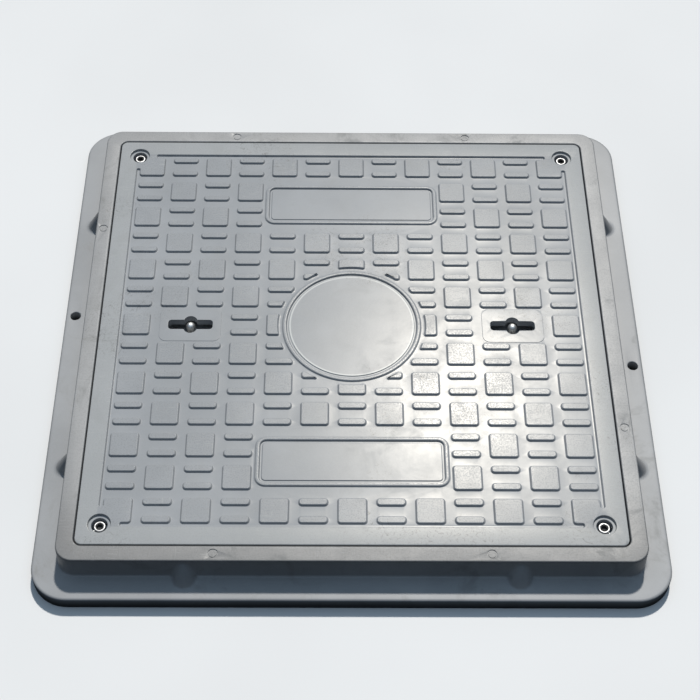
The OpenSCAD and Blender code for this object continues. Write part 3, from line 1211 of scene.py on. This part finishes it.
def make_camera():
    """The camera: its place is in pitches of the tread, from the middle of the top."""
    data = bpy.data.cameras.new("camera")
    data.sensor_width = SENSOR
    data.lens = SENSOR * LENS_PER_WIDTH
    data.clip_end = 30
    camera = bpy.data.objects.new("camera", data)
    bpy.context.scene.collection.objects.link(camera)
    level = Vector((math.sin(YAW), math.cos(YAW), 0))
    forward = level * math.cos(DIP) - Vector((0, 0, math.sin(DIP)))
    right = Vector((math.cos(YAW), -math.sin(YAW), 0))
    up = right.cross(forward)
    rolled_right = math.cos(ROLL) * right + math.sin(ROLL) * up
    rolled_up = -math.sin(ROLL) * right + math.cos(ROLL) * up
    turn = Matrix((rolled_right, rolled_up, -forward)).transposed().to_4x4()
    x, y, z = (PITCH * MM * c for c in CAMERA_IN_PITCHES)
    camera.matrix_world = Matrix.Translation((x, y, z + TOP * MM)) @ turn
    bpy.context.scene.camera = camera


def make_floor():
    """A wide floor that takes shadows and gives the object no light back."""
    mesh = bpy.data.meshes.new("floor")
    points = [(sx * FLOOR_HALF, sy * FLOOR_HALF, -0.0002) for sx, sy in CORNERS]
    mesh.from_pydata(points, [], [(0, 1, 2, 3)])
    floor = bpy.data.objects.new("floor", mesh)
    bpy.context.scene.collection.objects.link(floor)
    mesh.materials.append(floor_material())
    floor.visible_diffuse = False
    floor.visible_glossy = False


def make_key_light():
    """The sun, high behind the object and a little to its right."""
    data = bpy.data.lights.new("key", "SUN")
    data.energy = SUN_STRENGTH
    data.angle = SUN_ANGLE
    data.color = SUN_COLOR
    light = bpy.data.objects.new("key", data)
    bpy.context.scene.collection.objects.link(light)
    turn = TOWARD_SUN.to_track_quat("Z", "Y").to_matrix().to_4x4()
    light.matrix_world = Matrix.Translation(TOWARD_SUN * 4.0) @ turn


def make_world():
    """A soft sky: blue-grey overhead, dark at the horizon and below it."""
    world = bpy.data.worlds.new("studio")
    bpy.context.scene.world = world
    world.use_nodes = True
    tree = world.node_tree
    coord = tree.nodes.new("ShaderNodeTexCoord")
    split = tree.nodes.new("ShaderNodeSeparateXYZ")
    ramp = tree.nodes.new("ShaderNodeMapRange")
    tree.links.new(coord.outputs["Generated"], split.inputs[0])
    tree.links.new(split.outputs["Z"], ramp.inputs["Value"])
    ramp.inputs["From Min"].default_value = SKY_FROM
    ramp.inputs["From Max"].default_value = SKY_TO
    ramp.inputs["To Min"].default_value = 0.0
    ramp.inputs["To Max"].default_value = SKY_STRENGTH
    tint = tree.nodes.new("ShaderNodeMix")
    tint.data_type = "RGBA"
    tint.inputs[6].default_value = SKY_LOW_COLOR
    tint.inputs[7].default_value = SKY_HIGH_COLOR
    tree.links.new(split.outputs["Z"], tint.inputs["Factor"])
    background = tree.nodes["Background"]
    tree.links.new(tint.outputs[2], background.inputs["Color"])
    # what the camera sees past the floor is as pale as the floor
    backdrop = tree.nodes.new("ShaderNodeBackground")
    backdrop.inputs["Color"].default_value = BACKDROP_COLOR
    path = tree.nodes.new("ShaderNodeLightPath")
    choice = tree.nodes.new("ShaderNodeMixShader")
    tree.links.new(path.outputs["Is Camera Ray"], choice.inputs[0])
    tree.links.new(background.outputs[0], choice.inputs[1])
    tree.links.new(backdrop.outputs[0], choice.inputs[2])
    tree.links.new(choice.outputs[0], tree.nodes["World Output"].inputs["Surface"])
    tree.links.new(ramp.outputs["Result"], background.inputs["Strength"])


# ---------------------------------------------------------------- the whole model
CORNER_NAMES = ("front_left", "front_right", "rear_left", "rear_right")


def cover_material():
    """The cover's compound: bluish grey, with the smoother surface of the two."""
    return composite_material(
        "cover_finish",
        low_color=(0.298, 0.308, 0.319),
        high_color=(0.340, 0.350, 0.362),
        wear_and_highlight_color=(0.44, 0.445, 0.43),
        shine=0.085,
        shine_color=(1.0, 0.95, 0.86),
        field_rough=0.226,
        top_rough=0.205,
        top_darkening=0.0,
        stains=0.13,
    )


def frame_material():
    """The frame's compound: rougher, and more stained."""
    return composite_material(
        "frame_finish",
        low_color=(0.288, 0.292, 0.297),
        high_color=(0.340, 0.344, 0.349),
        wear_and_highlight_color=(0.38, 0.38, 0.37),
        shine=0.36,
        shine_color=(1.0, 0.985, 0.96),
        field_rough=0.36,
        top_rough=0.40,
        top_darkening=0.21,
        stains=0.5,
    )


def finish_cad_pieces():
    """Materials for the pieces that keep their CAD shape."""
    steel = steel_material("bolt_finish", (0.60, 0.60, 0.59), 0.22, 0.36)
    satin = steel_material("pin_finish", (0.80, 0.80, 0.78), 0.40, 0.52)
    plastic = dark_plastic_material()
    brass = brass_material()
    finishes = {"seat_gasket": rubber_material(), "key_socket_screws": steel}
    for side in ("left", "right"):
        finishes["key_socket_" + side] = plastic
        finishes["pilot_pin_" + side] = satin
        finishes["pilot_pin_nut_" + side] = steel
    for corner in CORNER_NAMES:
        finishes["threaded_insert_" + corner] = brass
        finishes["bolt_washer_" + corner] = steel
    for node, finish in finishes.items():
        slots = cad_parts[node].data.materials
        slots.clear()
        slots.append(finish)


def main():
    """The whole scene: camera, floor, light, pieces and their materials."""
    make_camera()
    make_floor()
    make_key_light()
    make_world()
    bpy.context.scene.view_settings.view_transform = "Standard"
    make_cover(cover_material())
    make_frame(frame_material())
    screw = steel_material("cap_screw_finish", (0.46, 0.455, 0.45), 0.40, 0.52, dark_sockets=True)
    for c in CORNER_NAMES:
        make_bolt("cap_screw_" + c, "bolt_" + c, "lock_bolt_" + c, screw)
    finish_cad_pieces()


main()
